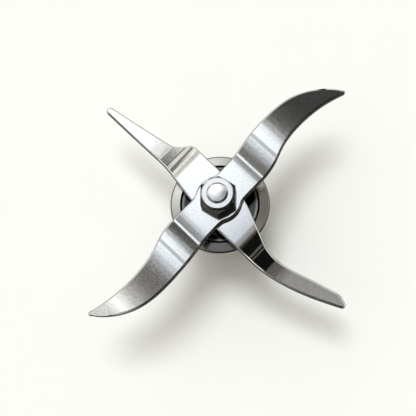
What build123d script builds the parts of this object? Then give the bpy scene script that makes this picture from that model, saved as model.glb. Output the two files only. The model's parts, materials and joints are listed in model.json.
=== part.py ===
from build123d import *
import math
import os

os.makedirs("parts", exist_ok=True)

# Fits in millimetres
press_gap = 0.01
running_gap = 0.05
thread_gap = 0.05
key_gap = 0.05
free_gap = 0.40

# Ball bearing, both alike: 8 mm bore, 16 mm outside, 5 mm wide
bearing_bore_r = 4.0
bearing_outer_r = 8.0
bearing_width = 5.0
ball_r = 1.0
ball_count = 9
ball_pitch_r = (bearing_bore_r + bearing_outer_r) / 2
land_gap = 0.65
inner_land_r = ball_pitch_r - land_gap
outer_land_r = ball_pitch_r + land_gap
shield_thick = 0.30
shield_inset = 0.15
cage_thick = 0.56
cage_height = 2.6

# Heights along the shaft, base rim at zero
skirt_depth = 6.0
drive_recess = 0.8
clip_land = 0.40
circlip_thick = 1.0
clip_slack = 0.10
lower_bearing_z = skirt_depth + clip_land + circlip_thick + clip_slack
spacer_height = 1.0
upper_bearing_z = lower_bearing_z + bearing_width + spacer_height
bearing_stop_z = upper_bearing_z + bearing_width
stop_thick = 0.8
seal_floor_z = bearing_stop_z + stop_thick
seal_height = 2.9
recess_floor_z = seal_floor_z + seal_height
recess_depth = 1.8
collar_lip_z = recess_floor_z + recess_depth
collar_slope = 0.2
collar_edge_z = collar_lip_z - collar_slope
collar_height = 3.6
collar_under_z = collar_edge_z - collar_height
slinger_z = recess_floor_z + free_gap
slinger_thick = 1.0
hub_height = 3.15
hub_z = slinger_z + slinger_thick
lower_sheet_z = hub_z + hub_height
sheet_thick = 2.0
upper_sheet_z = lower_sheet_z + sheet_thick
nut_seat_z = upper_sheet_z + sheet_thick
gasket_thick = 1.5
gasket_z = collar_under_z - gasket_thick
jug_floor = 4.5
washer_top_z = gasket_z - jug_floor
washer_thick = 0.7
washer_z = washer_top_z - washer_thick
ring_nut_height = 5.0
ring_nut_z = washer_z - ring_nut_height
thread_tail = 0.5
thread_start_z = ring_nut_z - thread_tail

# Bearing housing
neck_wall = 2.0
thread_r = bearing_outer_r + neck_wall
rim_step = 0.4
rim_r = thread_r - rim_step
rim_chamfer = 0.3
thread_runout = 0.6
register_step = 0.2
register_r = thread_r + register_step
relief_depth = 0.5
relief_r = thread_r - relief_depth
collar_edge_r = 14.4
collar_flare = 0.45
collar_r = collar_edge_r + collar_flare
collar_bevel_height = 0.5
collar_chamfer = 0.5
recess_r = 11.9
recess_corner = 0.6
skirt_step = 0.4
skirt_bore_r = bearing_outer_r + skirt_step
stop_step = 1.0
stop_r = bearing_outer_r - stop_step
shoulder_step = 1.0
shoulder_r = bearing_bore_r + shoulder_step
seal_width = 3.0
seal_pocket_r = shoulder_r + seal_width
clip_groove_depth = 0.6
clip_groove_r = bearing_outer_r + clip_groove_depth

# Shaft
shaft_r = bearing_bore_r - press_gap
seat_flat_half = 3.0
seat_clearance = 0.5
seat_end_z = nut_seat_z - seat_clearance
stud_r = 3.0
stud_proud = 0.7
stud_chamfer = 0.5
stud_crown = 0.1
drive_across_flats = 6.0
drive_chamfer = 0.5
shaft_groove_depth = 0.4
shaft_groove_r = shaft_r - shaft_groove_depth
shaft_clip_thick = 0.8
shaft_clip_width = 1.5
shaft_clip_mouth = 5.2
shaft_clip_notch = 1.1
shaft_clip_notch_width = 2.0
shaft_clip_notch_deg = 110.0

# Lock nut with plastic insert
nut_across_flats = 10.0
nut_turn_deg = 43.0
nut_height = 6.2
nut_hex_height = 4.3
nut_collar_inset = 0.3
nut_collar_r = nut_across_flats / 2 - nut_collar_inset
nut_bore_r = stud_r + thread_gap
nut_lip_height = 0.4
nut_edge_cut = 0.3
nut_lead_in = 0.4
insert_wall = 0.7
insert_r = stud_r + insert_wall
insert_height = 1.4

# Blade sheets: bend lines measured from the shaft, slopes upwards positive, radii on the inner side
upper_dip_x = 10.7
upper_dip_deg = -5.0
upper_dip_r = 36.0
upper_crease_x = 13.6
upper_rise_deg = 10.5
upper_crease_r = 4.0
upper_crest_x = 19.7
upper_crest_deg = -2.0
upper_crest_r = 48.0
upper_bow_x = 27.8
upper_bow_deg = -5.0
upper_bow_r = 95.0
upper_droop_x = 38.0
upper_droop_deg = -10.0
upper_droop_r = 140.0
lower_brow_x = 15.2
lower_drop_deg = -45.0
lower_brow_r = 6.7
lower_ease_x = 17.95
lower_slope_deg = -28.0
lower_ease_r = 4.0
lower_foot_x = 22.6
lower_foot_deg = -9.5
lower_foot_r = 3.0
lower_flat_x = 27.8
lower_fall_deg = -5.0
lower_flat_r = 75.0
lower_toe_x = 38.5
lower_toe_deg = -0.5
lower_toe_r = 160.0
blank_margin = 2.0

# Upper blade outline, both arms alike: station along the arm and offset across it
upper_root_x = 9.0
upper_half_width = 5.45
upper_boss_r = 6.85
upper_boss_blend = 4.0
upper_flare_x = 16.0
upper_flare_y = 6.15
upper_belly_x = 28.0
upper_belly_y = 6.95
upper_curl_x = 41.0
upper_curl_y = 4.3
upper_reach = 50.05
upper_tip_y = -4.2
upper_tip_r = 0.7
upper_lead_dir = (0.55, -1)
upper_trail_dir = (-1, 0.33)
upper_hollow_x = 36.0
upper_hollow_y = -2.0
upper_waist_x = 24.5
upper_waist_y = -2.95
upper_heel_x = 13.0

# Lower blade outline: a straight tapered arm and a curved arm
lower_reach = 47.3
lower_flank_y = 6.8
straight_root_x = 12.0
straight_root_y = 4.7
straight_root_dir = (1, -0.19)
straight_knee_x = 24.0
straight_knee_y = 2.8
straight_tip_y = 1.4
straight_tip_r = 1.1
straight_taper_x = 24.5
straight_taper_y = -3.05
straight_neck_x = 21.4
straight_neck_y = -4.3
straight_shoulder_x = 18.4
straight_shoulder_y = -6.6
curved_root_x = 6.5
curved_root_y = 4.8
curved_throat_x = 15.5
curved_throat_y = 1.05
curved_waist_x = 20.3
curved_waist_y = -0.6
curved_hollow_x = 28.4
curved_hollow_y = 0.1
curved_rise_x = 35.5
curved_rise_y = 2.25
curved_toe_x = 42.4
curved_toe_y = 4.15
curved_tip_y = 2.9
curved_tip_r = 0.85
curved_lead_dir = (1, -0.3)
curved_trail_dir = (-1, -0.48)
curved_belly_x = 34.0
curved_belly_y = -3.45
curved_heel_x = 21.0
curved_heel_y = -6.4

# Hub spacer and slinger
hub_r = 6.5
hub_chamfer = 0.3
slinger_gap = 0.6
slinger_r = recess_r - slinger_gap
slinger_land = 0.2
slinger_rim_lift = 0.7

# Shaft seal
seal_case_thick = 0.5
lip_thick = 0.75
garter_wire_r = 0.28

# Clamp parts on the neck
gasket_inset = 0.95
gasket_r = collar_r - gasket_inset
washer_width = 2.2
ring_nut_wall = 2.0
ring_nut_r = thread_r + ring_nut_wall
ring_nut_slots = 6
ring_nut_slot_width = 3.0
ring_nut_slot_depth = 1.2
ring_nut_chamfer = 0.4


def turned(*points):
    """Solid turned about Z from (radius, height) points."""
    outline = Polyline(*points, close=True)
    return revolve(Plane.XZ * make_face(outline), Axis.Z)


def ring(inner_r, outer_r, low_z, high_z):
    """Plain ring about Z."""
    return turned((inner_r, low_z), (outer_r, low_z), (outer_r, high_z), (inner_r, high_z))


def save(shape, name):
    """Write one node to its own file."""
    shape.label = name
    export_step(shape, "parts/" + name + ".step")


def hexagon(across_flats, low_z, height, turn_deg=0.0):
    """Hexagonal prism about Z, a corner along +X at no turn."""
    corner_r = across_flats / math.sqrt(3)
    face = Rot(0, 0, turn_deg) * RegularPolygon(corner_r, 6)
    return Pos(0, 0, low_z) * extrude(face, height)


def double_d(radius, flat_half, low_z, high_z):
    """Round bar with two flats, flats facing +Y and -Y."""
    height = high_z - low_z
    middle = Pos(0, 0, low_z + height / 2)
    return (middle * Cylinder(radius, height)) & (middle * Box(4 * radius, 2 * flat_half, height))


# Housing: collar on top, threaded neck, skirt that stands on its rim
housing = turned(
    (skirt_bore_r + rim_chamfer, 0),
    (rim_r - rim_chamfer, 0),
    (rim_r, rim_chamfer),
    (rim_r, thread_start_z - thread_runout),
    (thread_r, thread_start_z),
    (thread_r, washer_top_z),
    (register_r, washer_top_z),
    (register_r, gasket_z),
    (relief_r, gasket_z),
    (relief_r, collar_under_z),
    (collar_r - collar_chamfer, collar_under_z),
    (collar_r, collar_under_z + collar_chamfer),
    (collar_r, collar_edge_z - collar_bevel_height),
    (collar_edge_r, collar_edge_z),
    (recess_r, collar_lip_z),
    (recess_r, recess_floor_z + recess_corner),
    (recess_r - recess_corner, recess_floor_z),
    (seal_pocket_r, recess_floor_z),
    (seal_pocket_r, seal_floor_z),
    (stop_r, seal_floor_z),
    (stop_r, bearing_stop_z),
    (bearing_outer_r, bearing_stop_z),
    (bearing_outer_r, lower_bearing_z),
    (clip_groove_r, lower_bearing_z),
    (clip_groove_r, skirt_depth + clip_land),
    (bearing_outer_r, skirt_depth + clip_land),
    (bearing_outer_r, skirt_depth),
    (skirt_bore_r, skirt_depth),
    (skirt_bore_r, rim_chamfer),
)
save(housing, "bearing_housing")

# Shaft: hexagon drive end, bearing journal, seal shoulder, keyed blade seat, threaded stud
stud_top_z = nut_seat_z + nut_height + stud_proud
crown_z = stud_top_z - stud_crown
shaft_clip_top_z = lower_bearing_z - clip_slack
shaft_clip_low_z = shaft_clip_top_z - shaft_clip_thick
journal = turned(
    (0, skirt_depth),
    (shaft_groove_r, skirt_depth),
    (shaft_r, skirt_depth + shaft_groove_depth),
    (shaft_r, shaft_clip_low_z - press_gap),
    (shaft_groove_r, shaft_clip_low_z - press_gap),
    (shaft_groove_r, shaft_clip_top_z + press_gap),
    (shaft_r, shaft_clip_top_z + press_gap),
    (shaft_r, bearing_stop_z),
    (shoulder_r, bearing_stop_z),
    (shoulder_r, slinger_z),
    (0, slinger_z),
)
stud_side = Polyline(
    (0, stud_top_z),
    (0, seat_end_z),
    (stud_r, seat_end_z),
    (stud_r, crown_z - stud_chamfer),
    (stud_r - stud_chamfer, crown_z),
)
stud_end = TangentArc((0, stud_top_z), stud_side @ 1, tangent=(1, 0))
stud = revolve(Plane.XZ * make_face([stud_side, stud_end]), Axis.Z)
drive_corner_r = drive_across_flats / math.sqrt(3)
drive_end = hexagon(drive_across_flats, drive_recess, skirt_depth - drive_recess)
drive_end &= turned(
    (0, drive_recess),
    (drive_corner_r - drive_chamfer, drive_recess),
    (drive_corner_r, drive_recess + drive_chamfer),
    (drive_corner_r, skirt_depth),
    (0, skirt_depth),
)
seat = double_d(bearing_bore_r, seat_flat_half, slinger_z, seat_end_z)
save(journal + drive_end + seat + stud, "drive_shaft")


def ball_bearing(name, low_z):
    """Shielded ball bearing as six nodes, its lower face at low_z."""
    high_z = low_z + bearing_width
    middle_z = low_z + bearing_width / 2
    groove = Pos(0, 0, middle_z) * Torus(ball_pitch_r, ball_r + running_gap)
    outer = ring(outer_land_r, bearing_outer_r - press_gap, low_z, high_z)
    inner = ring(bearing_bore_r, inner_land_r, low_z, high_z)
    save(outer - groove, name + "_outer_race")
    save(inner - groove, name + "_inner_race")
    places = PolarLocations(ball_pitch_r, ball_count)
    balls = [Pos(0, 0, middle_z) * place * Sphere(ball_r) for place in places]
    save(Compound(children=balls), name + "_balls")
    cage = ring(
        ball_pitch_r - cage_thick / 2,
        ball_pitch_r + cage_thick / 2,
        middle_z - cage_height / 2,
        middle_z + cage_height / 2,
    )
    for place in places:
        cage -= Pos(0, 0, middle_z) * place * Rot(0, 90, 0) * Cylinder(ball_r + running_gap, 4 * cage_thick)
    save(cage, name + "_cage")
    shield_inner_r = inner_land_r + 2 * running_gap
    shield_outer_r = outer_land_r - press_gap
    for side, shield_z in (("low", low_z + shield_inset), ("top", high_z - shield_inset - shield_thick)):
        shield = ring(shield_inner_r, shield_outer_r, shield_z, shield_z + shield_thick)
        save(shield, name + "_shield_" + side)


ball_bearing("lower", lower_bearing_z)
ball_bearing("upper", upper_bearing_z)

spacer_z = lower_bearing_z + bearing_width
save(ring(bearing_bore_r, inner_land_r, spacer_z, spacer_z + spacer_height), "inner_spacer")
save(ring(outer_land_r, bearing_outer_r - press_gap, spacer_z, spacer_z + spacer_height), "outer_spacer")

# Housing circlip: open ring with two eyes for pliers
clip_low_z = skirt_depth + clip_land + clip_slack / 2
clip_top_z = clip_low_z + circlip_thick
clip_width = 1.5
clip_outer_r = clip_groove_r - press_gap
clip_inner_r = clip_outer_r - clip_width
eye_r = 0.9
eye_hole_r = 0.45
eye_angle_deg = 12.0
eye_inset = 0.2
eye_centre_r = clip_inner_r - eye_inset
clip_middle = Pos(0, 0, (clip_low_z + clip_top_z) / 2)
clip = ring(clip_inner_r, clip_outer_r, clip_low_z, clip_top_z)
clip_mouth = 2 * eye_centre_r * math.sin(math.radians(eye_angle_deg))
clip -= clip_middle * Pos(0, -clip_outer_r, 0) * Box(clip_mouth, 4 * clip_width, 2 * circlip_thick)
for sign in (-1, 1):
    turn = Rot(0, 0, -90 + sign * eye_angle_deg)
    eye = clip_middle * turn * Pos(eye_centre_r, 0, 0)
    clip += eye * Cylinder(eye_r, circlip_thick)
    clip -= eye * Cylinder(eye_hole_r, 2 * circlip_thick)
save(clip, "housing_circlip")

# Shaft circlip: E-shaped clip pushed in from the side
e_clip_outer_r = shaft_groove_r + shaft_clip_width
e_clip_middle = Pos(0, 0, (shaft_clip_low_z + shaft_clip_top_z) / 2)
e_clip = ring(shaft_groove_r + press_gap, e_clip_outer_r, shaft_clip_low_z, shaft_clip_top_z)
e_clip_cut = Box(2 * e_clip_outer_r - shaft_groove_r, shaft_clip_mouth, 2 * shaft_clip_thick)
e_clip -= e_clip_middle * Pos(e_clip_outer_r, 0, 0) * e_clip_cut
for sign in (-1, 1):
    notch = e_clip_middle * Rot(0, 0, sign * shaft_clip_notch_deg) * Pos(shaft_groove_r, 0, 0)
    e_clip -= notch * Box(shaft_clip_notch, shaft_clip_notch_width, 2 * shaft_clip_thick)
save(e_clip, "shaft_circlip")

# Shaft seal: steel case, rubber lip, garter spring
case_r = seal_pocket_r - press_gap
lip_r = shoulder_r + running_gap
case_inner_r = lip_r + 2 * lip_thick
seal_case = turned(
    (case_inner_r, seal_floor_z),
    (case_r, seal_floor_z),
    (case_r, recess_floor_z - running_gap),
    (case_r - seal_case_thick, recess_floor_z - running_gap),
    (case_r - seal_case_thick, seal_floor_z + seal_case_thick),
    (case_inner_r, seal_floor_z + seal_case_thick),
)
save(seal_case, "seal_case")
lip_low_z = seal_floor_z + seal_case_thick + press_gap
lip_top_z = recess_floor_z - 2 * running_gap
lip_web_z = lip_low_z + lip_thick
seal_body_r = case_r - seal_case_thick - press_gap
seal_lip = turned(
    (lip_r + lip_thick, lip_low_z),
    (seal_body_r, lip_low_z),
    (seal_body_r, lip_top_z),
    (seal_body_r - lip_thick / 2, lip_top_z),
    (seal_body_r - lip_thick / 2, lip_web_z),
    (lip_r + lip_thick, lip_web_z),
    (lip_r + lip_thick, lip_top_z),
    (lip_r + lip_thick / 2, lip_top_z),
    (lip_r, lip_top_z - lip_thick / 2),
    (lip_r, lip_top_z - lip_thick),
    (lip_r + lip_thick / 2, lip_web_z),
    (lip_r + lip_thick / 2, lip_low_z),
)
save(seal_lip, "seal_lip")
garter_z = lip_top_z - lip_thick
garter_r = lip_r + lip_thick + garter_wire_r + press_gap
save(Pos(0, 0, garter_z) * Torus(garter_r, garter_wire_r), "garter_spring")

# Slinger: shallow dish clamped on the shaft shoulder
slinger_flat_r = hub_r + slinger_land
slinger_lip = slinger_thick / 2
slinger = turned(
    (0, slinger_z),
    (slinger_flat_r, slinger_z),
    (slinger_r, slinger_z + slinger_rim_lift),
    (slinger_r, slinger_z + slinger_rim_lift + slinger_lip),
    (slinger_flat_r, hub_z),
    (0, hub_z),
)
key_hole = double_d(bearing_bore_r + key_gap, seat_flat_half + key_gap, slinger_z, nut_seat_z)
save(slinger - key_hole, "slinger")

# Hub spacer between slinger and blades
hub = turned(
    (0, hub_z),
    (hub_r - hub_chamfer, hub_z),
    (hub_r, hub_z + hub_chamfer),
    (hub_r, lower_sheet_z - hub_chamfer),
    (hub_r - hub_chamfer, lower_sheet_z),
    (0, lower_sheet_z),
)
save(hub - key_hole, "blade_hub")


def bent_strip(low_z, bends, reach, half_span):
    """Sheet along X, bent alike on both sides of the shaft, wide enough for any outline.

    Each bend is its station on the underside, the slope after it and the radius on its inner side.
    """
    station, height, slope_deg = 0.0, 0.0, 0.0
    arm = []
    radii = []
    for next_station, next_deg, inner_r in bends:
        height += (next_station - station) * math.tan(math.radians(slope_deg))
        arm.append((next_station, height))
        radii.append(inner_r + sheet_thick if next_deg > slope_deg else inner_r)
        station, slope_deg = next_station, next_deg
    height += (reach - station) * math.tan(math.radians(slope_deg))
    arm.append((reach, height))
    mirrored = [(-x, z) for x, z in reversed(arm)]
    underside = FilletPolyline(*mirrored, *arm, radius=[*reversed(radii), *radii])
    face = Plane.XZ * make_face(offset(underside, sheet_thick, side=Side.LEFT))
    return Pos(0, 0, low_z) * extrude(face, half_span, both=True)


def blank(first_arm, second_arm):
    """Blade outline from two arms, each a run of edges from its leading root to its trailing root."""
    second_arm = [Rot(0, 0, 180) * edge for edge in second_arm]
    flanks = [
        Line(first_arm[-1] @ 1, second_arm[0] @ 0),
        Line(second_arm[-1] @ 1, first_arm[0] @ 0),
    ]
    return make_face(first_arm + second_arm + flanks)


# Upper blade: two equal sickle arms
upper_tip_lead = (upper_reach - upper_tip_r / 2, upper_tip_y + upper_tip_r)
upper_tip_trail = (upper_reach - upper_tip_r, upper_tip_y - upper_tip_r / 2)
upper_arm = [
    Spline(
        (upper_root_x, upper_half_width),
        (upper_flare_x, upper_flare_y),
        (upper_belly_x, upper_belly_y),
        (upper_curl_x, upper_curl_y),
        upper_tip_lead,
        tangents=((1, 0), upper_lead_dir),
    ),
    ThreePointArc(upper_tip_lead, (upper_reach, upper_tip_y), upper_tip_trail),
    Spline(
        upper_tip_trail,
        (upper_hollow_x, upper_hollow_y),
        (upper_waist_x, upper_waist_y),
        (upper_heel_x, -upper_half_width),
        tangents=(upper_trail_dir, (-1, 0)),
    ),
]
upper_bends = [
    (upper_dip_x, upper_dip_deg, upper_dip_r),
    (upper_crease_x, upper_rise_deg, upper_crease_r),
    (upper_crest_x, upper_crest_deg, upper_crest_r),
    (upper_bow_x, upper_bow_deg, upper_bow_r),
    (upper_droop_x, upper_droop_deg, upper_droop_r),
]
upper_strip = bent_strip(upper_sheet_z, upper_bends, upper_reach + blank_margin, 2 * upper_belly_y)
upper_blank = blank(upper_arm, upper_arm) + Circle(upper_boss_r)
boss_corners = upper_blank.vertices().filter_by(lambda v: abs(Vector(v).length - upper_boss_r) < press_gap)
upper_blank = fillet(boss_corners, upper_boss_blend)
upper_blade = extrude(upper_blank, 2 * nut_seat_z) & upper_strip
save(upper_blade - key_hole, "upper_blade")

# Lower blade: seated a quarter turn on from the upper one
straight_tip_lead = (lower_reach - straight_tip_r, straight_tip_y + straight_tip_r)
straight_tip_trail = (lower_reach - straight_tip_r, straight_tip_y - straight_tip_r)
straight_edge = Line((straight_knee_x, straight_knee_y), straight_tip_lead)
straight_taper = Line(straight_tip_trail, (straight_taper_x, straight_taper_y))
straight_arm = [
    Spline(
        (straight_root_x, straight_root_y),
        (straight_knee_x, straight_knee_y),
        tangents=(straight_root_dir, straight_edge % 0),
    ),
    straight_edge,
    ThreePointArc(straight_tip_lead, (lower_reach, straight_tip_y), straight_tip_trail),
    straight_taper,
    Spline(
        (straight_taper_x, straight_taper_y),
        (straight_neck_x, straight_neck_y),
        (straight_shoulder_x, straight_shoulder_y),
        (straight_root_x, -lower_flank_y),
        tangents=(straight_taper % 1, (-1, 0)),
    ),
]
curved_tip_lead = (lower_reach - curved_tip_r, curved_tip_y + curved_tip_r)
curved_tip_trail = (lower_reach - curved_tip_r / 2, curved_tip_y - curved_tip_r)
curved_throat = Line((curved_root_x, curved_root_y), (curved_throat_x, curved_throat_y))
curved_arm = [
    curved_throat,
    Spline(
        (curved_throat_x, curved_throat_y),
        (curved_waist_x, curved_waist_y),
        (curved_hollow_x, curved_hollow_y),
        (curved_rise_x, curved_rise_y),
        (curved_toe_x, curved_toe_y),
        curved_tip_lead,
        tangents=(curved_throat % 1, curved_lead_dir),
    ),
    ThreePointArc(curved_tip_lead, (lower_reach, curved_tip_y), curved_tip_trail),
    Spline(
        curved_tip_trail,
        (curved_belly_x, curved_belly_y),
        (curved_heel_x, curved_heel_y),
        (curved_root_x, -lower_flank_y),
        tangents=(curved_trail_dir, (-1, 0)),
    ),
]
lower_bends = [
    (lower_brow_x, lower_drop_deg, lower_brow_r),
    (lower_ease_x, lower_slope_deg, lower_ease_r),
    (lower_foot_x, lower_foot_deg, lower_foot_r),
    (lower_flat_x, lower_fall_deg, lower_flat_r),
    (lower_toe_x, lower_toe_deg, lower_toe_r),
]
lower_strip = bent_strip(lower_sheet_z, lower_bends, lower_reach + blank_margin, 2 * lower_flank_y)
lower_blank = extrude(blank(straight_arm, curved_arm), 2 * nut_seat_z)
lower_blade = Rot(0, 0, 90) * (lower_blank & lower_strip)
save(lower_blade - key_hole, "lower_blade")

# Lock nut: chamfered hexagon with a round collar rolled over a plastic ring
nut_corner_r = nut_across_flats / math.sqrt(3)
nut_corner_cut = nut_corner_r - nut_across_flats / 2
hex_top_z = nut_seat_z + nut_hex_height
nut_top_z = nut_seat_z + nut_height
nut_hex = hexagon(nut_across_flats, nut_seat_z, nut_hex_height, nut_turn_deg)
nut_hex &= turned(
    (0, nut_seat_z),
    (nut_across_flats / 2, nut_seat_z),
    (nut_corner_r, nut_seat_z + nut_corner_cut / 2),
    (nut_corner_r, hex_top_z - nut_corner_cut),
    (nut_collar_r, hex_top_z),
    (0, hex_top_z),
)
insert_z = nut_top_z - nut_lip_height - insert_height
nut_collar = turned(
    (0, hex_top_z),
    (nut_collar_r, hex_top_z),
    (nut_collar_r, nut_top_z - nut_edge_cut),
    (nut_collar_r - nut_edge_cut, nut_top_z),
    (0, nut_top_z),
)
nut_hollow = turned(
    (0, nut_seat_z),
    (nut_bore_r + nut_lead_in, nut_seat_z),
    (nut_bore_r, nut_seat_z + nut_lead_in),
    (nut_bore_r, insert_z),
    (insert_r + press_gap, insert_z),
    (insert_r + press_gap, insert_z + insert_height),
    (nut_bore_r, insert_z + insert_height),
    (nut_bore_r, nut_top_z),
    (0, nut_top_z),
)
save(nut_hex + nut_collar - nut_hollow, "lock_nut")
save(ring(stud_r + press_gap, insert_r, insert_z, insert_z + insert_height), "nut_insert")

# Gasket, washer and slotted ring nut that clamp the jug floor
save(ring(relief_r + thread_gap, gasket_r, gasket_z, collar_under_z), "flange_gasket")
nut_hole_r = thread_r + thread_gap
save(ring(nut_hole_r, thread_r + washer_width, washer_z, washer_top_z), "nut_washer")
ring_nut = turned(
    (nut_hole_r, ring_nut_z),
    (ring_nut_r - ring_nut_chamfer, ring_nut_z),
    (ring_nut_r, ring_nut_z + ring_nut_chamfer),
    (ring_nut_r, washer_z - ring_nut_chamfer),
    (ring_nut_r - ring_nut_chamfer, washer_z),
    (nut_hole_r, washer_z),
)
for place in PolarLocations(ring_nut_r, ring_nut_slots):
    slot = place * Box(2 * ring_nut_slot_depth, ring_nut_slot_width, 3 * ring_nut_height)
    ring_nut -= Pos(0, 0, ring_nut_z) * slot
save(ring_nut, "retaining_nut")
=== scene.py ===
import json
import math

import bmesh
import bpy
from bpy.props import FloatProperty, FloatVectorProperty, IntProperty, PointerProperty
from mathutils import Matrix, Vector


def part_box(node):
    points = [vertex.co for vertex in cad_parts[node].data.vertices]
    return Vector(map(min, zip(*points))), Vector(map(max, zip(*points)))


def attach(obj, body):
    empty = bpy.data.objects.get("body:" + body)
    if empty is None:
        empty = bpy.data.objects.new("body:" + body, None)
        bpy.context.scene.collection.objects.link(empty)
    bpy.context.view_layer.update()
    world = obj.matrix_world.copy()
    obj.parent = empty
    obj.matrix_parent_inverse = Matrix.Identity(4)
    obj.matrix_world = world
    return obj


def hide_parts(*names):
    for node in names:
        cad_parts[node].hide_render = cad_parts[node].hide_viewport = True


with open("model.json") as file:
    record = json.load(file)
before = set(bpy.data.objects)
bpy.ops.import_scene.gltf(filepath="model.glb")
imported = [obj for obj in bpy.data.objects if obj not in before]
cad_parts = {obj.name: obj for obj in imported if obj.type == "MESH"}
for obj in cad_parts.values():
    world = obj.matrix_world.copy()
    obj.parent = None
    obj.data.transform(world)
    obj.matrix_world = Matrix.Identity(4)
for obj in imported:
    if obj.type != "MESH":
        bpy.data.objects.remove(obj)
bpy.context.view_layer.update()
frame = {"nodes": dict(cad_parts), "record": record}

bl_info = {
    "name": "Blender Blade Assembly",
    "version": (1, 0, 0),
    "blender": (4, 5, 0),
    "location": "3D View > Sidebar > Blade Assembly",
    "description": "Finishes a jug blender's blade assembly and sets its studio",
    "category": "Add Mesh",
}

NODES = frame["nodes"]
BODY_OF = {
    node: body
    for body, members in frame["record"]["behaviour"]["bodies"].items()
    for node in members
}

# Merging distances of a CAD copy and along its outline, and the spacing of the finer outline
WELD = 2e-6
RIM_WELD = 1e-4
RIM_STEP = 4e-4

# Name of the mark on sheared faces, whose dark tone is partly their torn finish and partly painted shade
# along the blade edges
SHEARED_AND_SHADED = "sheared_and_shaded_side"

# Upright part of a face's normal: less than the first on a blade's sides, more than the second on its top
SIDE_SLOPE = 0.2
SKIN_SLOPE = 0.5

# Angles past which faces meet in a crease and an outline turns a corner
CREASE = math.radians(20.0)
CORNER = math.radians(28.0)

# Darker, rougher band across the upper arms at the second bend: distance from the axis, and half width
CREASE_BAND_X = 0.0205
CREASE_BAND_HALF = 0.0005

# Radius to which the edges of machined steel look rounded, and its tool marks in a metre
EDGE_WIDTH = 0.00012
MARKS_PER_METRE = 9000.0

# Depth to which the recess is polished, the fade below it, and half the width of a sharp change of finish
POLISH_DEPTH = 0.0025
POLISH_FADE = 0.0005
SHARP = 1e-5

# Depth of the marks and dents in the metals, of the collar's tool marks, and of a moulded skin
MARK_DEPTH = 1.0e-5
TURNED_DEPTH = 1.2e-5
MOULDED_DEPTH = 1.5e-5

# Where the thread's crest begins and ends and its ridge ends, in shares of the pitch
CREST_START = 0.36
CREST_END = 0.5
RIDGE_END = 0.86

# Half the width of the floor, and the camera's film width in millimetres and nearest distance in metres
FLOOR_REACH = 6.0
FILM_WIDTH = 36.0
NEAREST = 0.01

# Dark tone, light tone and mean roughness of each plain finish
FINISHES = {
    "nut_steel": ((0.50, 0.49, 0.47), (0.74, 0.735, 0.715), 0.13),
    "shaft_steel": ((0.72, 0.715, 0.70), (0.90, 0.895, 0.88), 0.17),
    "locking_ring_nylon": ((0.78, 0.78, 0.74), (0.86, 0.86, 0.83), 0.45),
    "hub_steel": ((0.30, 0.30, 0.29), (0.42, 0.42, 0.41), 0.2),
    "ring_nut_steel": ((0.46, 0.45, 0.43), (0.62, 0.61, 0.59), 0.32),
    "gasket_rubber": ((0.018, 0.018, 0.018), (0.04, 0.04, 0.04), 0.6),
    "seal_case_steel": ((0.42, 0.41, 0.39), (0.55, 0.54, 0.52), 0.32),
    "garter_wire": ((0.50, 0.50, 0.49), (0.64, 0.64, 0.63), 0.26),
    "lip_rubber": ((0.02, 0.02, 0.02), (0.045, 0.045, 0.045), 0.5),
    "ground_race_steel": ((0.60, 0.60, 0.59), (0.72, 0.72, 0.71), 0.16),
    "shield_steel": ((0.48, 0.48, 0.47), (0.60, 0.60, 0.59), 0.3),
    "cage_brass": ((0.56, 0.40, 0.16), (0.72, 0.55, 0.26), 0.3),
    "spring_clip_steel": ((0.20, 0.20, 0.20), (0.32, 0.31, 0.30), 0.38),
}
# Painted shade: dark tone laid on the lock nut's flats in place of the dark they reflect
NUT_FLATS_SHADE_TONE = (0.12, 0.12, 0.116)

# Sizes read from the solids
COLLAR_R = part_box("bearing_housing")[1].x
COLLAR_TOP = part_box("bearing_housing")[1].z
SLINGER_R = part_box("slinger")[1].x
NECK_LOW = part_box("bearing_housing")[0].z
RING_NUT_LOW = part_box("retaining_nut")[0].z


def top_radius(node):
    """Largest radius about Z of a solid's uppermost points."""
    points = [vertex.co for vertex in NODES[node].data.vertices]
    top = max(point.z for point in points)
    return max(point.xy.length for point in points if point.z > top - WELD)


def side_top(node):
    """Height where a round solid's outer side ends and its edge begins."""
    points = [vertex.co for vertex in NODES[node].data.vertices]
    outer_r = max(point.xy.length for point in points)
    return max(point.z for point in points if point.xy.length > outer_r - WELD)


def neck_sizes():
    """Radius of the housing's plain neck, the height where it ends, and its radius inside the ring nut."""
    points = [vertex.co for vertex in NODES["bearing_housing"].data.vertices if vertex.co.z < RING_NUT_LOW]
    threaded_r = max(point.xy.length for point in points)
    plain = [point for point in points if point.xy.length < threaded_r - WELD]
    plain_r = max(point.xy.length for point in plain)
    return plain_r, max(point.z for point in plain if point.xy.length > plain_r - WELD), threaded_r


class Signal:
    """A number in a shader: arithmetic on it adds Math nodes."""

    def __init__(self, sheet, socket):
        self.sheet = sheet
        self.socket = socket

    def pick(self, name):
        """Another output of the same node."""
        return Signal(self.sheet, self.socket.node.outputs[name])

    def __add__(self, other):
        return self.sheet.math("ADD", self, other)

    __radd__ = __add__

    def __sub__(self, other):
        return self.sheet.math("SUBTRACT", self, other)

    def __rsub__(self, other):
        return self.sheet.math("SUBTRACT", other, self)

    def __mul__(self, other):
        return self.sheet.math("MULTIPLY", self, other)

    __rmul__ = __mul__


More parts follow.
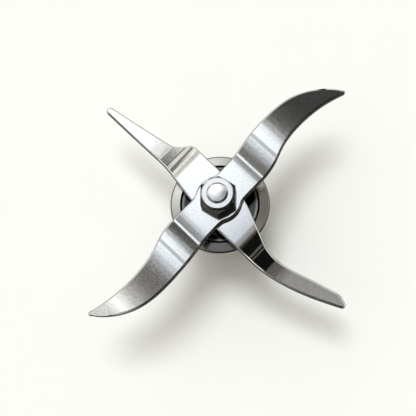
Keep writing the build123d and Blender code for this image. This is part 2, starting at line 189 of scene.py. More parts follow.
class Sheet:
    """The nodes of one material or world."""

    def __init__(self, tree):
        self.tree = tree
        tree.nodes.clear()

    def add(self, kind, settings=None, inputs=None, output=0):
        """Adds a node, sets its settings, then its sockets, and gives one output."""
        node = self.tree.nodes.new(kind)
        for name, value in (settings or {}).items():
            setattr(node, name, value)
        for name, value in (inputs or {}).items():
            socket = node.inputs[name]
            if isinstance(value, Signal):
                self.tree.links.new(value.socket, socket)
            else:
                socket.default_value = value
        return Signal(self, node.outputs[output]) if node.outputs else None

    def math(self, operation, first, second=0.0):
        """One step of arithmetic on numbers."""
        return self.add("ShaderNodeMath", {"operation": operation}, {0: first, 1: second})

    def vector(self, operation, first, second=(0, 0, 0), output=0):
        """One step of arithmetic on vectors."""
        settings = {"operation": operation}
        return self.add("ShaderNodeVectorMath", settings, {0: first, 1: second}, output)

    def place(self):
        """Object coordinates in metres."""
        return self.add("ShaderNodeTexCoord", output="Object")

    def turned_place(self, place):
        """Distance from the Z axis, and height."""
        flat = self.vector("MULTIPLY", place, (1, 1, 0))
        return self.vector("LENGTH", flat, output="Value"), self.axes(place)[2]

    def noise(self, vector, scale, detail=2.0):
        """Noise in three dimensions, at one scale per metre or at one for each axis."""
        scales = scale if isinstance(scale, tuple) else (scale, scale, scale)
        stretched = self.vector("MULTIPLY", vector, scales)
        inputs = {"Vector": stretched, "Scale": 1.0, "Detail": detail}
        return self.add("ShaderNodeTexNoise", {}, inputs)

    def lines(self, value, per_metre, detail=2.0):
        """Noise along one number."""
        inputs = {"W": value * per_metre, "Scale": 1.0, "Detail": detail}
        return self.add("ShaderNodeTexNoise", {"noise_dimensions": "1D"}, inputs)

    def ramp(self, value, low, high, start=0.0, end=1.0):
        """Smooth step from start to end as value goes from low to high."""
        inputs = {"Value": value, "From Min": low, "From Max": high, "To Min": start, "To Max": end}
        return self.add("ShaderNodeMapRange", {"interpolation_type": "SMOOTHSTEP"}, inputs)

    def fall(self, value, low, high):
        """Smooth step from one to nought as value goes from low to high."""
        return self.ramp(value, low, high, 1.0, 0.0)

    def band(self, value, low, high, soft):
        """One between two limits, nought outside, with soft sides."""
        return self.ramp(value, low - soft, low + soft) * self.fall(value, high - soft, high + soft)

    def axes(self, vector):
        """The three components of a vector."""
        across = self.add("ShaderNodeSeparateXYZ", {}, {"Vector": vector}, "X")
        return across, across.pick("Y"), across.pick("Z")

    def mix(self, share, first, second):
        """Colour between two colours."""
        # A Mix node has sockets for each kind of data: 6 and 7, and output 2, are those for colours
        return self.add("ShaderNodeMix", {"data_type": "RGBA"}, {0: share, 6: first, 7: second}, 2)

    def bump(self, height, strength, distance=MARK_DEPTH, edge=0.0):
        """Normal from a height, over edges that look rounded to a radius where one is given."""
        inputs = {"Height": height, "Strength": strength, "Distance": distance}
        if edge:
            inputs["Normal"] = self.add("ShaderNodeBevel", {"samples": 6}, {"Radius": edge})
        return self.add("ShaderNodeBump", {}, inputs)


def swing(noise, amount):
    """Noise made to swing about nought, by half the amount each way."""
    return (noise - 0.5) * amount


def colour(rgb):
    """Colour with no transparency."""
    return (*rgb, 1.0)


def finish_sheet(name):
    """Starts a material."""
    material = bpy.data.materials.new(name)
    material.use_nodes = True
    return material, Sheet(material.node_tree)


def close_finish(sheet, **sockets):
    """Ends a material with one surface shader, socket names written with underscores."""
    inputs = {name.replace("_", " "): value for name, value in sockets.items()}
    surface = sheet.add("ShaderNodeBsdfPrincipled", {}, inputs)
    sheet.add("ShaderNodeOutputMaterial", {}, {"Surface": surface})


def brushed_steel(name, settings, along):
    """Polished and finely brushed sheet: streaks across the arms, smears, sheared sides in a dark tone that
    is partly painted shade, and a darker, rougher band at the second bend.

    The arms run along the axis named by along, 0 for X and 1 for Y.
    """
    material, sheet = finish_sheet(name)
    place = sheet.place()
    grain = [1 / settings.grain_length] * 3
    grain[along] = 1 / settings.grain_pitch
    streaks = sheet.ramp(sheet.noise(place, tuple(grain), 3.0), 0.28, 0.72)
    smears = sheet.noise(place, 90, 2.0)
    reach = sheet.math("ABSOLUTE", sheet.axes(place)[along])
    # Darker, rougher band across the upper arms at the second bend
    mark = settings.crease_band if along == 0 else 0.0
    low, high = CREASE_BAND_X - CREASE_BAND_HALF, CREASE_BAND_X + CREASE_BAND_HALF
    pressed = mark * sheet.band(reach, low, high, CREASE_BAND_HALF / 2)
    sheared = sheet.add("ShaderNodeAttribute", {"attribute_name": SHEARED_AND_SHADED}, output="Fac")
    tone = sheet.mix(streaks, colour(settings.dark_tone), colour(settings.light_tone))
    tone = sheet.mix(pressed, tone, colour(settings.crease_band_tone))
    # Painted shade in part: sheared sides and the torn strip take the dark side tone, for their rough finish
    # and for the shade along the blade edges
    tone = sheet.mix(sheared, tone, colour(settings.side_tone))
    roughness = settings.roughness + swing(streaks, settings.grain_depth) + swing(smears, 0.05)
    close_finish(
        sheet,
        Base_Color=tone,
        Metallic=1.0 - sheared * 0.5,
        Roughness=roughness + pressed * 0.2 + sheared * 0.5,
        Normal=sheet.bump(streaks, 0.05),
    )
    return material


def turned_steel(name, settings):
    """Lathe-turned steel: concentric tool marks on the collar, painted shade on its outer edge, polished
    inside the recess.
    """
    material, sheet = finish_sheet(name)
    place = sheet.place()
    radius, height = sheet.turned_place(place)
    marks = sheet.lines(radius + height, settings.marks_per_metre, 3.0)
    blotches = sheet.noise(place, 300, 3.0)
    recess_r = top_radius("bearing_housing")
    polish_low = COLLAR_TOP - POLISH_DEPTH
    polished = sheet.fall(radius, recess_r - SHARP, recess_r + SHARP)
    polished = polished * sheet.ramp(height, polish_low - POLISH_FADE, polish_low)
    # Painted shade: a dark band over the collar's chamfer, standing in for the shade along its outer edge
    shaded_edge_r = COLLAR_R - settings.shaded_edge_width
    shaded_edge_low = side_top("bearing_housing")
    edge = sheet.ramp(radius, shaded_edge_r, shaded_edge_r + settings.shaded_edge_width * 0.2)
    edge = edge * sheet.ramp(height, shaded_edge_low - EDGE_WIDTH, shaded_edge_low)
    turned = sheet.mix(marks, colour(settings.dark_tone), colour(settings.light_tone))
    tone = sheet.mix(polished, turned, colour(settings.polished_tone))
    tone = sheet.mix(edge, tone, colour(settings.edge_shade_tone))
    roughness = settings.roughness + swing(marks, 0.18) + swing(blotches, 0.10)
    close_finish(
        sheet,
        Base_Color=tone,
        Metallic=1.0,
        Roughness=roughness - polished * 0.06,
        Normal=sheet.bump(marks, 0.35, TURNED_DEPTH, settings.edge_width),
    )
    return material


def machined_steel(name, flats_shade_r=None):
    """Machined bar steel: fine marks round the axis, slight stains, and painted shade on a nut's flats past
    a radius.
    """
    dark, light, rough = FINISHES[name]
    material, sheet = finish_sheet(name)
    place = sheet.place()
    radius, height = sheet.turned_place(place)
    marks = sheet.lines(radius + height * 1.3, MARKS_PER_METRE, 2.0)
    stains = sheet.noise(place, 420, 3.0)
    tone = sheet.mix(marks * 0.5 + stains * 0.5, colour(dark), colour(light))
    # Painted shade: past this radius the nut's flats take the dark tone
    if flats_shade_r:
        tone = sheet.mix(sheet.ramp(radius, flats_shade_r, flats_shade_r + EDGE_WIDTH), tone, colour(NUT_FLATS_SHADE_TONE))
    close_finish(
        sheet,
        Base_Color=tone,
        Metallic=1.0,
        Roughness=rough + swing(marks, 0.10) + swing(stains, 0.08),
        Normal=sheet.bump(marks, 0.2, edge=EDGE_WIDTH),
    )
    return material


def shaded_slinger_disc(name, settings):
    """Slinger disc in painted shade: near-black tones for the shade in the recess, a less dark rim, fine
    marks round the axis.
    """
    material, sheet = finish_sheet(name)
    radius = sheet.turned_place(sheet.place())[0]
    marks = sheet.lines(radius, settings.marks_per_metre)
    rim = sheet.ramp(radius, SLINGER_R - settings.bright_rim * 1.2, SLINGER_R - settings.bright_rim)
    # Painted shade: the disc's near-black tones stand in for the shade in the recess under the blades
    black = sheet.mix(marks, colour(settings.shade_dark_tone), colour(settings.shade_light_tone))
    close_finish(
        sheet,
        Base_Color=sheet.mix(rim, black, colour(settings.rim_tone)),
        Metallic=1.0,
        Roughness=0.16 + rim * 0.12 + swing(marks, 0.08),
        Normal=sheet.bump(marks, 0.15, edge=settings.edge_width),
    )
    return material


def pressed_metal(name):
    """Pressed sheet or spring stock: soft mottling and small dents."""
    dark, light, rough = FINISHES[name]
    material, sheet = finish_sheet(name)
    place = sheet.place()
    mottle = sheet.noise(place, 900, 3.0)
    dents = sheet.noise(place, 3500, 2.0)
    close_finish(
        sheet,
        Base_Color=sheet.mix(mottle, colour(dark), colour(light)),
        Metallic=1.0,
        Roughness=rough + swing(mottle, 0.12),
        Normal=sheet.bump(dents, 0.15),
    )
    return material


def moulded(name):
    """Moulded rubber or plastic: fine matt skin."""
    dark, light, rough = FINISHES[name]
    material, sheet = finish_sheet(name)
    place = sheet.place()
    skin = sheet.noise(place, 5000, 2.0)
    shade = sheet.noise(place, 250, 3.0)
    close_finish(
        sheet,
        Base_Color=sheet.mix(shade, colour(dark), colour(light)),
        Roughness=rough + swing(shade, 0.12),
        Normal=sheet.bump(skin, 0.2, MOULDED_DEPTH),
    )
    return material


def pale_floor(name, tone):
    """Matt paper: faint clouds in a pale tone."""
    material, sheet = finish_sheet(name)
    clouds = sheet.noise(sheet.place(), 40, 2.0)
    paler = [min(1.0, part + 0.01) for part in tone]
    shade = sheet.mix(clouds, colour(tone), colour(paler))
    close_finish(sheet, Base_Color=shade, Roughness=0.9, Specular_IOR_Level=0.0)
    return material


def coat(material, *nodes):
    """Gives solids that keep their CAD shape a finish."""
    for node in nodes:
        piece = NODES[node]
        if not piece.material_slots:
            piece.data.materials.append(material)
        for slot in piece.material_slots:
            slot.material = material


def rim_points(bm, skin):
    """Points in order round the outer edge of a set of faces."""
    inside = set(skin)
    links = {}
    for edge in bm.edges:
        if sum(face in inside for face in edge.link_faces) == 1:
            for point in edge.verts:
                links.setdefault(point, []).append(edge)
    first = max(links, key=lambda point: point.co.xy.length)
    points = [first]
    edge = links[first][0]
    point = edge.other_vert(first)
    while point is not first:
        points.append(point)
        edge = next(other for other in links[point] if other is not edge)
        point = edge.other_vert(point)
    return points


def smooth_rim(bm, points, low, high):
    """Splits a facetted outline finely, laying the new points on a smooth curve in plan inside a box."""
    places = [point.co.copy() for point in points]
    count = len(places)
    runs = [(places[(i + 1) % count] - places[i]).xy for i in range(count)]

    def heading(i, run):
        """Direction of the curve at a point, or that of one run where the outline turns sharply."""
        before, after = runs[i - 1], runs[i]
        if before.angle(after) > CORNER:
            return run.normalized()
        return before.normalized() * after.length + after.normalized() * before.length

    for i in range(count):
        start, end, run = places[i], places[(i + 1) % count], runs[i]
        leave = heading(i, run).normalized() * run.length
        arrive = heading((i + 1) % count, run).normalized() * run.length
        cuts = math.ceil(run.length / RIM_STEP)
        last = points[i]
        for cut in range(1, cuts):
            t = cut / cuts
            flat = (
                start.xy * (2 * t**3 - 3 * t**2 + 1) + leave * (t**3 - 2 * t**2 + t)
                + end.xy * (3 * t**2 - 2 * t**3) + arrive * (t**3 - t**2)
            )
            edge = bm.edges.get((last, points[(i + 1) % count]))
            last = bmesh.utils.edge_split(edge, last, 0.5)[1]
            last.co = (
                min(max(flat.x, low.x), high.x),
                min(max(flat.y, low.y), high.y),
                start.z + (end.z - start.z) * t,
            )


def upper_skin(bm):
    """Faces of a blade that look up."""
    bm.normal_update()
    return [face for face in bm.faces if face.normal.z > SKIN_SLOPE]


def inset(bm, faces, width):
    """Strip of new faces inside the outline of a set of faces."""
    return bmesh.ops.inset_region(bm, faces=faces, thickness=width, use_even_offset=True)["faces"]


def points_of(faces):
    """All points of a set of faces."""
    return {point for face in faces for point in face.verts}


def lower_points(points, depth):
    """Moves points of a mesh straight down."""
    for point in points:
        point.co.z -= depth


def add_piece(name, bm, material):
    """Puts a finished mesh in the scene, with its material."""
    mesh = bpy.data.meshes.new(name)
    bm.to_mesh(mesh)
    bm.free()
    mesh.materials.append(material)
    piece = bpy.data.objects.new(name, mesh)
    bpy.context.scene.collection.objects.link(piece)
    return piece


def neck_thread(settings, material):
    """Ridge wound round the housing's neck below the ring nut."""
    neck_r, neck_top, threaded_r = neck_sizes()
    root, crest, pitch = neck_r - settings.depth, threaded_r, settings.pitch
    start = NECK_LOW + settings.plain_end
    turns = (neck_top - start) / pitch - 1
    steps = round(turns * settings.steps)
    bm = bmesh.new()
    shape = ((root, 0.0), (crest, CREST_START), (crest, CREST_END), (root, RIDGE_END))
    profile = bm.faces.new([bm.verts.new((radius, 0.0, start + rise * pitch)) for radius, rise in shape])
    bmesh.ops.spin(
        bm, geom=[*profile.verts, *profile.edges, profile], cent=(0, 0, 0), axis=(0, 0, 1),
        dvec=(0, 0, turns * pitch / steps), angle=turns * math.tau, steps=steps, use_duplicate=False,
    )
    bmesh.ops.remove_doubles(bm, verts=bm.verts, dist=WELD)
    bmesh.ops.recalc_face_normals(bm, faces=bm.faces)
    piece = add_piece("neck_thread", bm, material)
    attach(piece, BODY_OF["bearing_housing"])


def ground_blade(node, settings, material):
    """Copy of a blade, in its stead, with a bevel ground along its upper edges over a torn edge whose dark
    tone is partly painted shade.
    """
    bm = bmesh.new()
    bm.from_mesh(NODES[node].data)
    sheared = bm.faces.layers.float.new(SHEARED_AND_SHADED)
    bmesh.ops.remove_doubles(bm, verts=bm.verts, dist=WELD)
    bmesh.ops.remove_doubles(bm, verts=rim_points(bm, upper_skin(bm)), dist=RIM_WELD)
    skin = upper_skin(bm)
    smooth_rim(bm, rim_points(bm, skin), *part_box(node))
    bm.normal_update()
    torn = inset(bm, skin, settings.torn_width)
    bevel = inset(bm, skin, settings.bevel_width)
    brow = points_of(torn) & points_of(bevel)
    bevel_fall = settings.bevel_width * settings.bevel_slope
    lower_points(brow, bevel_fall)
    lower_points(points_of(torn) - brow, bevel_fall + settings.torn_width * settings.torn_slope)
    bm.normal_update()
    for face in bm.faces:
        face.smooth = True
        # Sheared sides and the torn strip are marked for the dark tone, which is partly painted shade
        face[sheared] = float(abs(face.normal.z) < SIDE_SLOPE)
    for face in torn:
        face[sheared] = 1.0
    bmesh.ops.triangulate(bm, faces=[face for face in bm.faces if len(face.verts) > 4])
    for edge in bm.edges:
        edge.smooth = edge.calc_face_angle(0.0) < CREASE
    piece = add_piece(node + "_ground", bm, material)
    weighted = piece.modifiers.new("Flat faces", "WEIGHTED_NORMAL")
    weighted.mode = "FACE_AREA"
    weighted.weight = 80
    weighted.keep_sharp = True
    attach(piece, BODY_OF[node])
    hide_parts(node)


def studio_world(settings):
    """Room round the part: window overhead, lamp on the left, pale walls, dark front and right.

    The limits are parts of the direction in which one looks, along X, Y and Z.
    """
    world = bpy.data.worlds.new("Studio")
    world.use_nodes = True
    bpy.context.scene.world = world
    sheet = Sheet(world.node_tree)
    x, y, z = sheet.axes(sheet.add("ShaderNodeTexCoord", output="Generated"))
    near_pane = sheet.ramp(y, 0.158, 0.188, 0.0, 0.85) + sheet.ramp(y, 0.235, 0.28, 0.0, 0.15)
    near_pane = near_pane * sheet.ramp(x, -0.12, 0.18)
    far_pane = sheet.ramp(y, 0.235, 0.28, 0.0, 0.5) + sheet.ramp(y, 0.36, 0.42, 0.0, 0.5)
    far_pane = far_pane * sheet.ramp(x, -0.12, -0.02)
    window = sheet.math("MAXIMUM", near_pane, far_pane)
    window = window * sheet.fall(x, 0.245, 0.345) * sheet.fall(y, 0.5, 0.54)
    panel = sheet.band(x, -0.03, 0.175, 0.02) * sheet.band(y, -0.15, 0.2, 0.04)
    ledge = sheet.ramp(y, 0.02, 0.15) * panel
    left = sheet.fall(x, -0.38, -0.35) * sheet.ramp(y, -0.1, 0.1)
    corner = sheet.band(x, -0.3, 0.06, 0.04) * sheet.band(y + x * 0.3, -0.3, 0.075, 0.02)
    sill = sheet.band(z, 0.25, 0.38, 0.03) * sheet.fall(y, -0.85, -0.7)
    beside = sheet.band(y, 0.17, 0.34, 0.03)
    lamp = sheet.band(x, -0.345, -0.3, 0.022) * beside
    glow = sheet.ramp(x, -0.37, -0.34) * sheet.fall(x, -0.3, -0.15) * beside
    gloom = sheet.ramp(x, 0.31, 0.46) * sheet.fall(x, 0.68, 0.8) * sheet.band(y, 0.0, 0.5, 0.08)
    front = sheet.math("MAXIMUM", sheet.band(x, -0.3, 0.42, 0.08), sheet.fall(z, 0.28, 0.36))
    front = sheet.fall(y, -0.42, -0.1) * front
    sides = sheet.fall(z, 0.7, 0.85)
    lintel = sheet.ramp(y, 0.49, 0.53)
    wall = sheet.ramp(y, 0.57, 0.62)
    strip = sheet.band(y, 0.81, 0.9, 0.03)
    skirting = sheet.fall(z, 0.3, 0.45) * sheet.ramp(y, -0.4, -0.1)
    opening = sheet.band(z, 0.24, 0.41, 0.03) * sheet.ramp(y, 0.6, 0.75)
    door = opening * sheet.band(x, -0.03, 0.16, 0.03)
    doorway = opening * sheet.ramp(x, 0.143, 0.162) * sheet.fall(x, 0.34, 0.4)
    layers = (
        (sides, settings.side_tone),
        (gloom, settings.gloom_tone),
        (panel, settings.panel_tone),
        (ledge, settings.ledge_tone),
        (front, settings.front_tone),
        (corner, settings.front_tone),
        (sill, settings.room_tone),
        (left, settings.left_tone),
        (lintel, settings.lintel_tone),
        (wall, settings.wall_tone),
        (strip, settings.strip_tone),
        (skirting, settings.skirting_tone),
        (door, settings.gloom_tone),
        (doorway, settings.doorway_tone),
        (glow, settings.glow_tone),
        (lamp, settings.lamp_tone),
        (window, settings.window_tone),
    )
    light = colour(settings.room_tone)
    for share, tone in layers:
        light = sheet.mix(share, light, colour(tone))
    studio = sheet.add("ShaderNodeBackground", {}, {"Color": light})
    sheet.add("ShaderNodeOutputWorld", {}, {"Surface": studio})


def soft_lamp(name, power, tone, spread, aim):
    """Wide lamp that lights the scene from one direction and isn't mirrored in the steel."""
    lamp = bpy.data.lights.new(name, "SUN")
    lamp.energy = power
    lamp.color = tone
    lamp.angle = spread
    piece = bpy.data.objects.new(name, lamp)
    piece.rotation_mode = "QUATERNION"
    piece.rotation_quaternion = Vector(aim).to_track_quat("Z", "Y")
    piece.visible_glossy = False
    bpy.context.scene.collection.objects.link(piece)


class BladeSteelSettings(bpy.types.PropertyGroup):
    """Finish and ground edges of both blades."""

    dark_tone: FloatVectorProperty(
        name="Dark tone",
        description="Colour in the grain's hollows",
        subtype="COLOR",
        default=(0.58, 0.575, 0.56),
    )
    light_tone: FloatVectorProperty(
        name="Light tone",
        description="Colour on the grain's ridges",
        subtype="COLOR",
        default=(0.80, 0.80, 0.79),
    )
    # Dark tone of the sheared sides: partly their torn finish, partly painted shade along the edges
    side_tone: FloatVectorProperty(
        name="Side tone",
        description="Colour of the sheared sides",
        subtype="COLOR",
        default=(0.06, 0.06, 0.056),
    )
    # Colour of the darker band at the second bend
    crease_band_tone: FloatVectorProperty(
        name="Mark tone",
        description="Colour of the press marks",
        subtype="COLOR",
        default=(0.52, 0.51, 0.48),
    )
    crease_band: FloatProperty(
        name="Press marks",
        description="How plain the press marks are",
        default=0.7,
        min=0,
        max=1,
    )
    roughness: FloatProperty(
        name="Roughness",
        description="Mean roughness of the sheet",
        default=0.13,
        min=0,
        max=1,
    )
    grain_depth: FloatProperty(
        name="Grain",
        description="How much the grain roughens the sheet",
        default=0.06,
    )
    bevel_width: FloatProperty(
        name="Bevel",
        description="Width of the ground bevel",
        default=0.0003,
        unit="LENGTH",
        subtype="DISTANCE",
    )
    bevel_slope: FloatProperty(
        name="Bevel slope",
        description="Fall of the ground bevel over its width",
        default=1.0,
    )
    torn_width: FloatProperty(
        name="Torn edge",
        description="Width of the dark sheared edge under the bevel",
        default=0.00018,
        unit="LENGTH",
        subtype="DISTANCE",
    )
    torn_slope: FloatProperty(
        name="Torn slope",
        description="Fall of the sheared edge over its width",
        default=1.3,
    )
    grain_pitch: FloatProperty(
        name="Grain pitch",
        description="Width of one streak",
        default=0.00014,
        unit="LENGTH",
        subtype="DISTANCE",
    )
    grain_length: FloatProperty(
        name="Grain length",
        description="Length of one streak",
        default=0.0007,
        unit="LENGTH",
        subtype="DISTANCE",
    )


class TurnedSteelSettings(bpy.types.PropertyGroup):
    """Finish of the housing's collar and recess and of the slinger, with painted shade on the collar's edge
    and over the slinger.
    """

    dark_tone: FloatVectorProperty(
        name="Dark tone",
        description="Colour in the tool marks",
        subtype="COLOR",
        default=(0.44, 0.42, 0.38),
    )
    light_tone: FloatVectorProperty(
        name="Light tone",
        description="Colour between the tool marks",
        subtype="COLOR",
        default=(0.66, 0.635, 0.58),
    )
    polished_tone: FloatVectorProperty(
        name="Recess tone",
        description="Colour of the polished recess",
        subtype="COLOR",
        default=(0.66, 0.66, 0.65),
    )
    roughness: FloatProperty(
        name="Roughness",
        description="Mean roughness of turned faces",
        default=0.19,
        min=0,
        max=1,
    )
    rim_tone: FloatVectorProperty(
        name="Rim tone",
        description="Colour of the slinger's rim",
        subtype="COLOR",
        default=(0.26, 0.26, 0.255),
    )
    # Painted shade: near-black tones of the slinger
    shade_dark_tone: FloatVectorProperty(
        name="Black dark tone",
        description="Colour in the marks of the slinger",
        subtype="COLOR",
        default=(0.03, 0.03, 0.03),
    )
    shade_light_tone: FloatVectorProperty(
        name="Black light tone",
        description="Colour between the marks of the slinger",
        subtype="COLOR",
        default=(0.07, 0.07, 0.068),
    )
    bright_rim: FloatProperty(
        name="Slinger rim",
        description="Width of the slinger's bright rim",
        default=0.0006,
        unit="LENGTH",
        subtype="DISTANCE",
    )
    # Width of the painted shade on the collar's chamfer
    shaded_edge_width: FloatProperty(
        name="Chamfer",
        description="Width of the collar's dark edge",
        default=0.0004,
        unit="LENGTH",
        subtype="DISTANCE",
    )
    # Colour of the painted shade on the collar's chamfer
    edge_shade_tone: FloatVectorProperty(
        name="Edge tone",
        description="Colour of the collar's dark edge",
        subtype="COLOR",
        default=(0.07, 0.068, 0.062),
    )
    marks_per_metre: FloatProperty(
        name="Tool marks",
        description="Tool marks in a metre of feed",
        default=MARKS_PER_METRE,
    )
    edge_width: FloatProperty(
        name="Edge",
        description="Width of the eased edges",
        default=EDGE_WIDTH,
        unit="LENGTH",
        subtype="DISTANCE",
    )


class ThreadSettings(bpy.types.PropertyGroup):
    """Thread on the housing's neck."""

    pitch: FloatProperty(
        name="Pitch",
        description="Pitch of the neck thread",
        default=0.001,
        unit="LENGTH",
        subtype="DISTANCE",
    )
    plain_end: FloatProperty(
        name="Plain end",
        description="Length of the neck without thread",
        default=0.0012,
        unit="LENGTH",
        subtype="DISTANCE",
    )
    depth: FloatProperty(
        name="Root",
        description="How far the thread's root is sunk in the neck",
        default=0.00005,
        unit="LENGTH",
        subtype="DISTANCE",
    )
    steps: IntProperty(name="Steps", description="Steps in one turn of the thread", default=72, min=12)


class StageSettings(bpy.types.PropertyGroup):
    """Camera, floor, lamps and the light of the room."""

    eye: FloatVectorProperty(
        name="Camera",
        description="Where the camera stands",
        subtype="TRANSLATION",
        unit="LENGTH",
        default=(-0.03628, -0.0549, 0.28408),
    )
    eye_turn: FloatVectorProperty(
        name="Camera turn",
        description="How the camera is turned",
        subtype="EULER",
        unit="ROTATION",
        default=(math.radians(13.5885), math.radians(3.9443), math.radians(-46.0892)),
    )
    lens: FloatProperty(name="Lens", description="Focal length in millimetres", default=78.0)
    floor_tone: FloatVectorProperty(
        name="Floor",
        description="Colour of the floor",
        subtype="COLOR",
        default=(0.96, 0.96, 0.94),
    )
    key_power: FloatProperty(name="Key lamp", description="Strength of the key lamp", default=1.455)
    key_spread: FloatProperty(
        name="Key spread",
        description="How wide the key lamp looks",
        default=math.radians(24),
        unit="ROTATION",
        subtype="ANGLE",
    )
    key_aim: FloatVectorProperty(
        name="Key direction",
        description="Direction from the part to the key lamp",
        subtype="XYZ",
        default=(0.16, 0.27, 0.95),
    )
    fill_power: FloatProperty(name="Fill lamp", description="Strength of the wide fill lamp", default=0.57)
    fill_spread: FloatProperty(
        name="Fill spread",
        description="How wide the fill lamp looks",
        default=math.radians(90),
        unit="ROTATION",
        subtype="ANGLE",
    )
    fill_aim: FloatVectorProperty(
        name="Fill direction",
        description="Direction from the part to the fill lamp",
        subtype="XYZ",
        default=(0.1, 0.18, 0.98),
    )
    key_tone: FloatVectorProperty(
        name="Key tone",
        description="Colour of the key lamp",
        subtype="COLOR",
        default=(0.965, 0.99, 1.0),
    )
    fill_tone: FloatVectorProperty(
        name="Fill tone",
        description="Colour of the wide fill lamp",
        subtype="COLOR",
        default=(1.0, 0.975, 0.84),
    )
    room_tone: FloatVectorProperty(
        name="Room",
        description="Light of the ceiling all round",
        subtype="COLOR",
        default=(0.197, 0.187, 0.17),
    )
    side_tone: FloatVectorProperty(
        name="Side walls",
        description="Light of the walls all round",
        subtype="COLOR",
        default=(0.42, 0.4, 0.36),
    )
    panel_tone: FloatVectorProperty(
        name="Ceiling panel",
        description="Light of the ceiling in front of the window",
        subtype="COLOR",
        default=(0.48, 0.468, 0.452),
    )
    ledge_tone: FloatVectorProperty(
        name="Window ledge",
        description="Light of the ceiling next to the window",
        subtype="COLOR",
        default=(0.49, 0.54, 0.62),
    )
    window_tone: FloatVectorProperty(
        name="Window",
        description="Light of the large window overhead",
        subtype="COLOR",
        default=(1.76, 1.88, 2.0),
        max=10.0,
    )
    lintel_tone: FloatVectorProperty(
        name="Lintel",
        description="Light of the wall above the window",
        subtype="COLOR",
        default=(1.24, 1.24, 1.21),
        max=10.0,
    )
    wall_tone: FloatVectorProperty(
        name="Back wall",
        description="Light of the wall behind",
        subtype="COLOR",
        default=(0.76, 0.75, 0.72),
    )
    strip_tone: FloatVectorProperty(
        name="Wall strip",
        description="Light of the strip along the wall behind",
        subtype="COLOR",
        default=(1.28, 1.24, 1.12),
        max=10.0,
    )
    lamp_tone: FloatVectorProperty(
        name="Left lamp",
        description="Light of the lamp on the left",
        subtype="COLOR",
        default=(2.5, 2.48, 2.42),
        max=10.0,
    )
    glow_tone: FloatVectorProperty(
        name="Lamp glow",
        description="Light beside the lamp on the left",
        subtype="COLOR",
        default=(0.98, 0.97, 0.94),
    )
    left_tone: FloatVectorProperty(
        name="Left wall",
        description="Light of the wall on the left",
        subtype="COLOR",
        default=(0.8, 0.79, 0.77),
    )
    gloom_tone: FloatVectorProperty(
        name="Right side",
        description="Light of the dark side on the right",
        subtype="COLOR",
        default=(0.06, 0.061, 0.06),
    )
    front_tone: FloatVectorProperty(
        name="Front",
        description="Light of the black screen in front",
        subtype="COLOR",
        default=(0.006, 0.006, 0.006),
    )
    skirting_tone: FloatVectorProperty(
        name="Skirting",
        description="Light along the foot of the wall behind",
        subtype="COLOR",
        default=(0.24, 0.236, 0.224),
    )
    doorway_tone: FloatVectorProperty(
        name="Doorway",
        description="Light of the doorway in the wall behind",
        subtype="COLOR",
        default=(2.1, 2.07, 1.98),
        max=10.0,
    )


class BLADE_OT_upper_blade(bpy.types.Operator):
    """Grind the edges of the upper blade and brush its faces."""

    bl_idname = "blade_assembly.upper_blade"
    bl_label = "Upper Blade"

    def execute(self, context):
        settings = context.scene.blade_steel
        ground_blade("upper_blade", settings, brushed_steel("upper_blade_steel", settings, 0))
        return {"FINISHED"}


class BLADE_OT_lower_blade(bpy.types.Operator):
    """Grind the edges of the lower blade and brush its faces."""

    bl_idname = "blade_assembly.lower_blade"
    bl_label = "Lower Blade"

    def execute(self, context):
        settings = context.scene.blade_steel
        ground_blade("lower_blade", settings, brushed_steel("lower_blade_steel", settings, 1))
        return {"FINISHED"}


class BLADE_OT_housing(bpy.types.Operator):
    """Turn the bearing housing and cut the thread on its neck."""

    bl_idname = "blade_assembly.housing"
    bl_label = "Bearing Housing"

    def execute(self, context):
        material = turned_steel("turned_collar_steel", context.scene.turned_steel)
        coat(material, "bearing_housing")
        neck_thread(context.scene.neck_thread, material)
        return {"FINISHED"}


class BLADE_OT_lock_nut(bpy.types.Operator):
    """Finish the lock nut, its locking ring and the shaft that it clamps."""

    bl_idname = "blade_assembly.lock_nut"
    bl_label = "Lock Nut and Shaft"

    def execute(self, context):
        # The nut's flats take painted shade past its top face
        coat(machined_steel("nut_steel", top_radius("lock_nut") + EDGE_WIDTH), "lock_nut")
        coat(machined_steel("shaft_steel"), "drive_shaft")
        coat(moulded("locking_ring_nylon"), "nut_insert")
        return {"FINISHED"}


class BLADE_OT_hub(bpy.types.Operator):
    """Finish the hub spacer, and the slinger under the blades in painted shade."""

    bl_idname = "blade_assembly.hub"
    bl_label = "Hub and Slinger"

    def execute(self, context):
        coat(shaded_slinger_disc("slinger_painted_shade", context.scene.turned_steel), "slinger")
        coat(machined_steel("hub_steel"), "blade_hub")
        return {"FINISHED"}


class BLADE_OT_clamp(bpy.types.Operator):
    """Finish the ring nut, washer and gasket that clamp the jug's floor."""

    bl_idname = "blade_assembly.clamp"
    bl_label = "Clamp Ring"

    def execute(self, context):
        coat(machined_steel("ring_nut_steel"), "retaining_nut", "nut_washer")
        coat(moulded("gasket_rubber"), "flange_gasket")
        return {"FINISHED"}


class BLADE_OT_seal(bpy.types.Operator):
    """Finish the shaft seal in the housing."""

    bl_idname = "blade_assembly.seal"
    bl_label = "Shaft Seal"

    def execute(self, context):
        coat(pressed_metal("seal_case_steel"), "seal_case")
        coat(pressed_metal("garter_wire"), "garter_spring")
        coat(moulded("lip_rubber"), "seal_lip")
        return {"FINISHED"}


class BLADE_OT_bearings(bpy.types.Operator):
    """Finish both ball bearings, their spacers and the clips that hold them."""

    bl_idname = "blade_assembly.bearings"
    bl_label = "Bearings and Clips"

    def execute(self, context):
        ground = machined_steel("ground_race_steel")
        shield = pressed_metal("shield_steel")
        brass = pressed_metal("cage_brass")
        for name in ("upper", "lower"):
            coat(ground, name + "_outer_race", name + "_inner_race", name + "_balls")
            coat(shield, name + "_shield_top", name + "_shield_low")
            coat(brass, name + "_cage")
        coat(ground, "inner_spacer", "outer_spacer")
        coat(pressed_metal("spring_clip_steel"), "housing_circlip", "shaft_circlip")
        return {"FINISHED"}


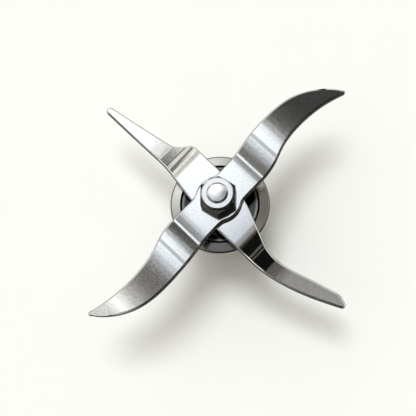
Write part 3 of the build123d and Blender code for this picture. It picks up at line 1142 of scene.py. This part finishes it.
class BLADE_OT_stage(bpy.types.Operator):
    """Set the floor, lamps, room light and camera."""

    bl_idname = "blade_assembly.stage"
    bl_label = "Stage"

    def execute(self, context):
        scene = context.scene
        settings = scene.blade_stage
        scene.view_settings.view_transform = "Standard"
        bm = bmesh.new()
        bmesh.ops.create_grid(bm, x_segments=1, y_segments=1, size=FLOOR_REACH)
        floor = add_piece("floor", bm, pale_floor("pale_floor", settings.floor_tone))
        soft_lamp("key", settings.key_power, settings.key_tone, settings.key_spread, settings.key_aim)
        soft_lamp("fill", settings.fill_power, settings.fill_tone, settings.fill_spread, settings.fill_aim)
        studio_world(settings)
        lens = bpy.data.cameras.new("camera")
        lens.sensor_width = FILM_WIDTH
        lens.lens = settings.lens
        lens.clip_start = NEAREST
        camera = bpy.data.objects.new("camera", lens)
        camera.location = settings.eye
        camera.rotation_euler = settings.eye_turn
        scene.collection.objects.link(camera)
        scene.camera = camera
        return {"FINISHED"}


class BLADE_PT_assembly(bpy.types.Panel):
    """Lists the pieces of the blade assembly."""

    bl_idname = "BLADE_PT_assembly"
    bl_label = "Blade Assembly"
    bl_space_type = "VIEW_3D"
    bl_region_type = "UI"
    bl_category = "Blade Assembly"

    def draw(self, context):
        for operator in OPERATORS:
            self.layout.operator(operator.bl_idname)
        for name in SETTINGS:
            group = getattr(context.scene, name)
            for prop in group.bl_rna.properties:
                if prop.identifier not in {"rna_type", "name"}:
                    self.layout.prop(group, prop.identifier)


OPERATORS = (
    BLADE_OT_upper_blade,
    BLADE_OT_lower_blade,
    BLADE_OT_housing,
    BLADE_OT_lock_nut,
    BLADE_OT_hub,
    BLADE_OT_clamp,
    BLADE_OT_seal,
    BLADE_OT_bearings,
    BLADE_OT_stage,
)
SETTINGS = {
    "blade_steel": BladeSteelSettings,
    "turned_steel": TurnedSteelSettings,
    "neck_thread": ThreadSettings,
    "blade_stage": StageSettings,
}


def register():
    for name, group in SETTINGS.items():
        bpy.utils.register_class(group)
        setattr(bpy.types.Scene, name, PointerProperty(type=group))
    for operator in OPERATORS:
        bpy.utils.register_class(operator)
    bpy.utils.register_class(BLADE_PT_assembly)


def unregister():
    bpy.utils.unregister_class(BLADE_PT_assembly)
    for operator in reversed(OPERATORS):
        bpy.utils.unregister_class(operator)
    for name, group in SETTINGS.items():
        delattr(bpy.types.Scene, name)
        bpy.utils.unregister_class(group)


def main():
    register()
    bpy.ops.blade_assembly.upper_blade()
    bpy.ops.blade_assembly.lower_blade()
    bpy.ops.blade_assembly.housing()
    bpy.ops.blade_assembly.lock_nut()
    bpy.ops.blade_assembly.hub()
    bpy.ops.blade_assembly.clamp()
    bpy.ops.blade_assembly.seal()
    bpy.ops.blade_assembly.bearings()
    bpy.ops.blade_assembly.stage()


if __name__ == "__main__":
    main()
